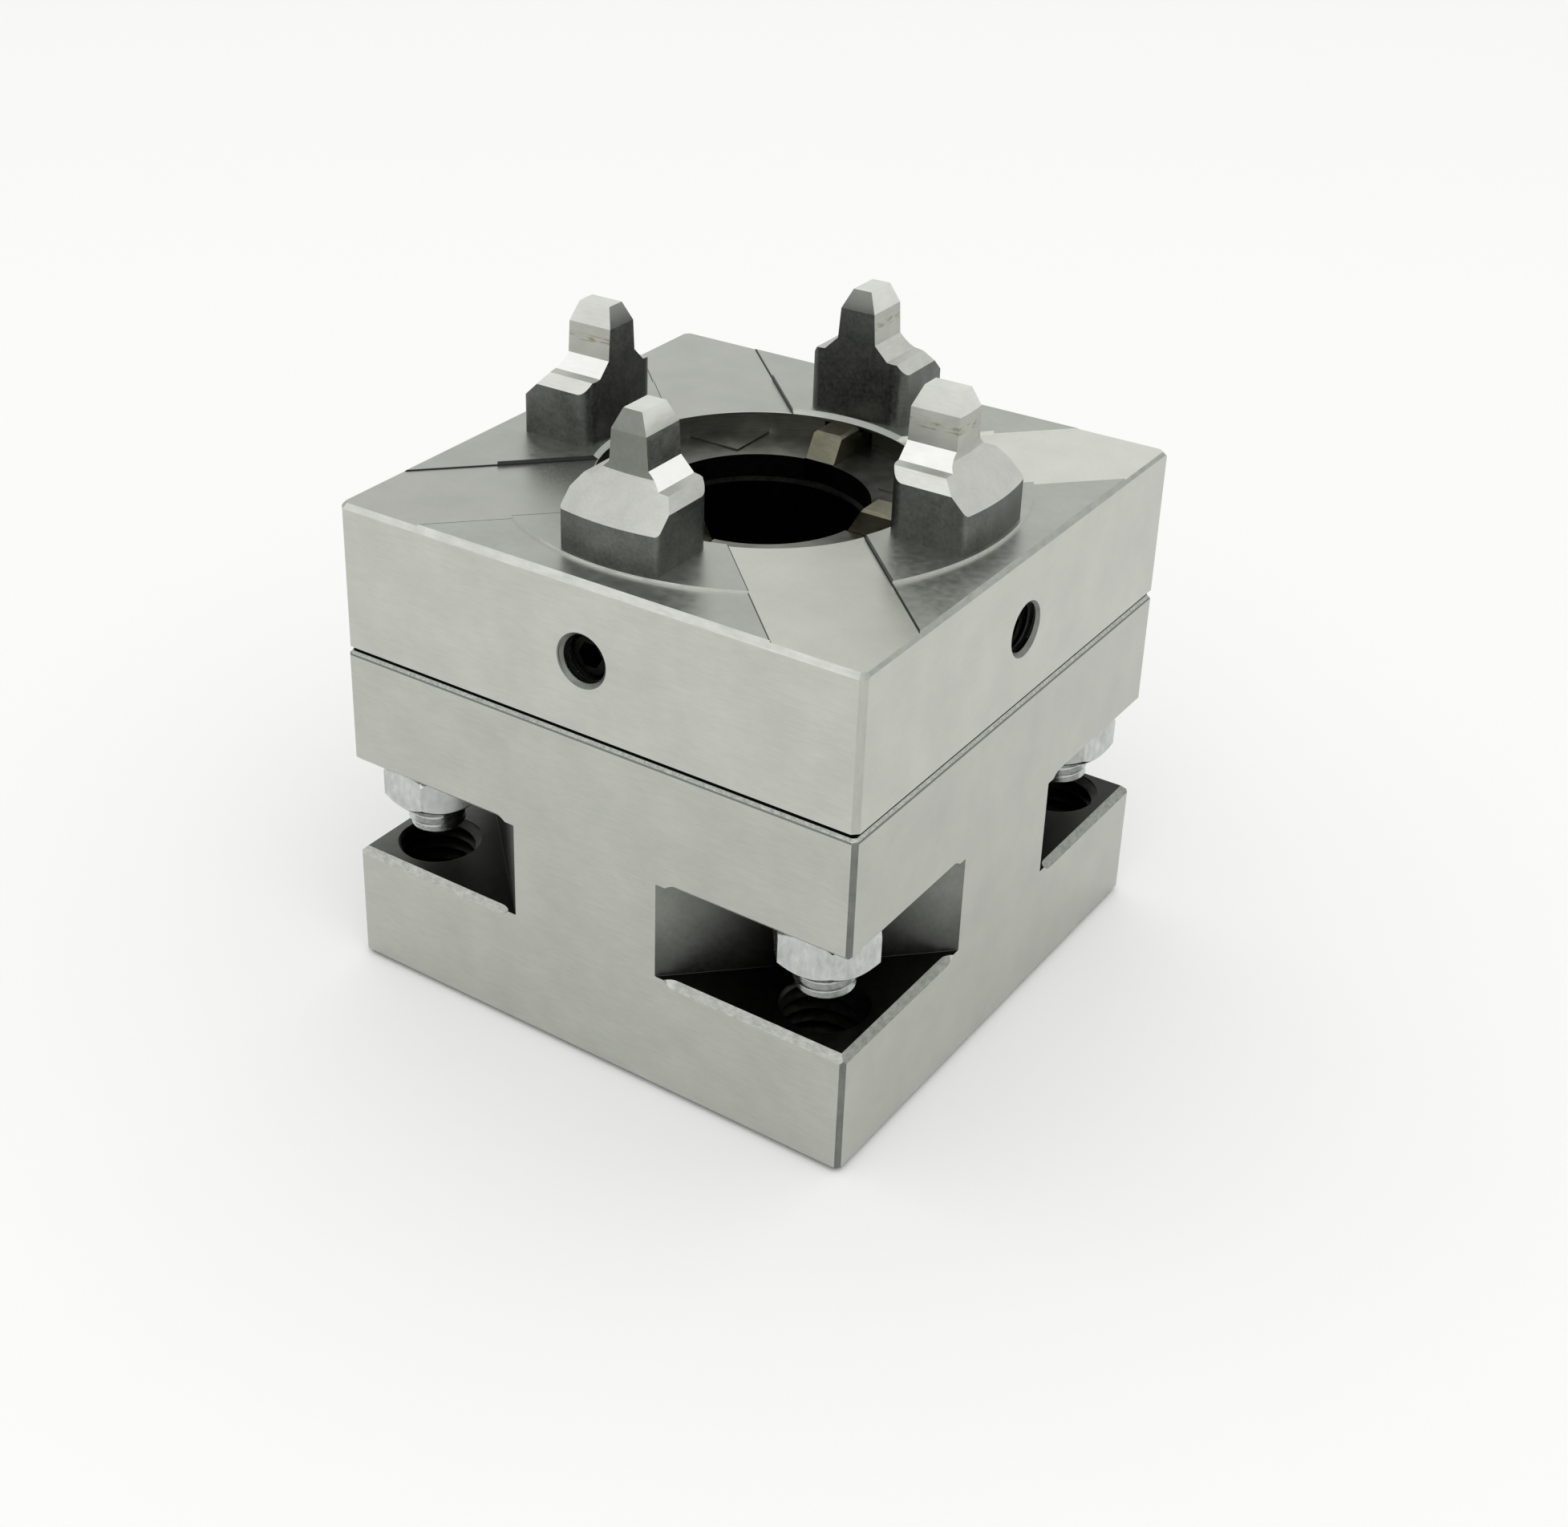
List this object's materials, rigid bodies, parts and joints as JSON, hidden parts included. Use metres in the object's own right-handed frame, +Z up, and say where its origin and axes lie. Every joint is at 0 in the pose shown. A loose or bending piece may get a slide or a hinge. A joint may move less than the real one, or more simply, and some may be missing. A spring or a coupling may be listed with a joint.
{
  "type": "square collet chuck",
  "caption": "Square steel chuck block: centring prongs, ground corner pads and a round bore whose clamping jaws are driven by set screws, on a notched bolt-down base.",
  "frame": {"origin": "centre of the block's underside", "axes": "+Z up along the bore towards the prongs, +X and +Y square to the sides"},
  "size_m": [0.05, 0.05, 0.0566],
  "materials": {
    "ground_steel": "ground satin",
    "block_steel": "ground satin",
    "jaw_steel": "hardened, lightly oiled",
    "zinc_steel": "bright zinc plated",
    "black_steel": "black oxide"
  },
  "bodies": {
    "chuck": {"chuck_plate": "ground_steel", "base_block": "block_steel", "guide_sleeve": "black_steel", "dowel_pin_east": "jaw_steel", "dowel_pin_west": "jaw_steel", "stud_ne": "zinc_steel", "nut_ne": "zinc_steel", "stud_nw": "zinc_steel", "nut_nw": "zinc_steel", "stud_sw": "zinc_steel", "nut_sw": "zinc_steel", "stud_se": "zinc_steel", "nut_se": "zinc_steel"},
    "jaw_east": {"jaw_east": "jaw_steel"},
    "screw_east": {"set_screw_east": "black_steel"},
    "jaw_north": {"jaw_north": "jaw_steel"},
    "screw_north": {"set_screw_north": "black_steel"},
    "jaw_west": {"jaw_west": "jaw_steel"},
    "screw_west": {"set_screw_west": "black_steel"},
    "jaw_south": {"jaw_south": "jaw_steel"},
    "screw_south": {"set_screw_south": "black_steel"}
  },
  "joints": [
    {"name": "jaw_east_slide", "type": "slide", "parent": "chuck", "child": "jaw_east", "axis": [-1, 0, 0], "range_m": [0, 0.0007]},
    {"name": "set_screw_east_turn", "type": "hinge", "parent": "jaw_east", "child": "screw_east", "pos_m": [0.0205, 0, 0.03795], "axis": [-1, 0, 0], "range_deg": [0, 360]},
    {"name": "jaw_north_slide", "type": "slide", "parent": "chuck", "child": "jaw_north", "axis": [0, -1, 0], "range_m": [0, 0.0007]},
    {"name": "set_screw_north_turn", "type": "hinge", "parent": "jaw_north", "child": "screw_north", "pos_m": [0, 0.0205, 0.03795], "axis": [0, -1, 0], "range_deg": [0, 360]},
    {"name": "jaw_west_slide", "type": "slide", "parent": "chuck", "child": "jaw_west", "axis": [1, 0, 0], "range_m": [0, 0.0007]},
    {"name": "set_screw_west_turn", "type": "hinge", "parent": "jaw_west", "child": "screw_west", "pos_m": [-0.0205, 0, 0.03795], "axis": [1, 0, 0], "range_deg": [0, 360]},
    {"name": "jaw_south_slide", "type": "slide", "parent": "chuck", "child": "jaw_south", "axis": [0, 1, 0], "range_m": [0, 0.0007]},
    {"name": "set_screw_south_turn", "type": "hinge", "parent": "jaw_south", "child": "screw_south", "pos_m": [0, -0.0205, 0.03795], "axis": [0, 1, 0], "range_deg": [0, 360]}
  ],
  "couplings": [
    {"joint": "set_screw_east_turn", "follows": "jaw_east_slide", "rad_per_m": 8976},
    {"joint": "set_screw_north_turn", "follows": "jaw_north_slide", "rad_per_m": 8976},
    {"joint": "set_screw_west_turn", "follows": "jaw_west_slide", "rad_per_m": 8976},
    {"joint": "set_screw_south_turn", "follows": "jaw_south_slide", "rad_per_m": 8976}
  ]
}
